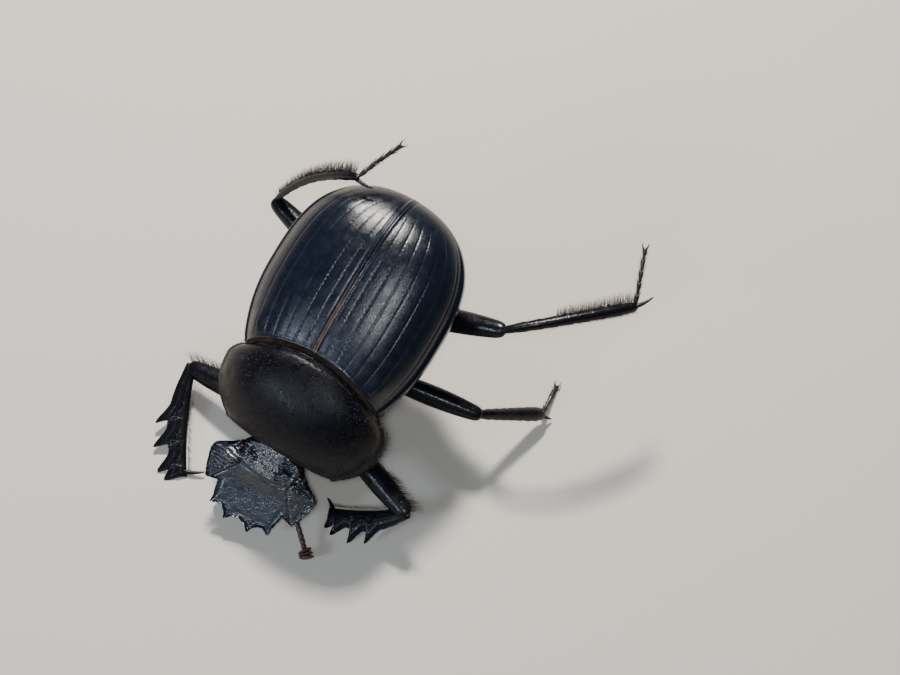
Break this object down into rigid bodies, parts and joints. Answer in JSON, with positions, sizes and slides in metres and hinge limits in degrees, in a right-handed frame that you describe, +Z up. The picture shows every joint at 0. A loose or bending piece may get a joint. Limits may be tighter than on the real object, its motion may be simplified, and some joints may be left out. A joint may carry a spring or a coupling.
{
  "type": "dung beetle model",
  "caption": "Life-size still model of a black ball-rolling dung beetle, head down on its front and middle feet, hind legs raised.",
  "frame": {"origin": "centre of the bounding box's base, on the floor under the body", "axes": "+Z up, -Y towards the head, +X towards the beetle's left side"},
  "size_m": [0.0296, 0.0323, 0.0188],
  "materials": {
    "shell": "satin black with a faint blue sheen",
    "belly": "dull black",
    "leg": "glossy black",
    "antenna": "dull dark red-brown",
    "eye": "polished very dark brown"
  },
  "bodies": {
    "root": {"elytron_left": "shell", "elytron_right": "shell", "pronotum": "shell", "head": "shell", "prosternum": "belly", "metasternum": "belly", "abdomen": "belly", "pygidium": "belly", "eye_left": "eye", "eye_right": "eye", "mouthparts": "antenna", "antenna_stalk_left": "antenna", "antenna_stalk_right": "antenna", "antenna_club_left": "antenna", "antenna_club_right": "antenna", "coxa_fore_left": "leg", "coxa_fore_right": "leg", "coxa_middle_left": "leg", "coxa_middle_right": "leg", "coxa_hind_left": "leg", "coxa_hind_right": "leg", "femur_fore_left": "leg", "femur_fore_right": "leg", "femur_middle_left": "leg", "femur_middle_right": "leg", "femur_hind_left": "leg", "femur_hind_right": "leg", "tibia_fore_left": "leg", "tibia_fore_right": "leg", "tibia_middle_left": "leg", "tibia_middle_right": "leg", "tibia_hind_left": "leg", "tibia_hind_right": "leg", "tarsus_middle_left": "leg", "tarsus_middle_right": "leg", "tarsus_hind_left": "leg", "tarsus_hind_right": "leg"}
  },
  "joints": []
}
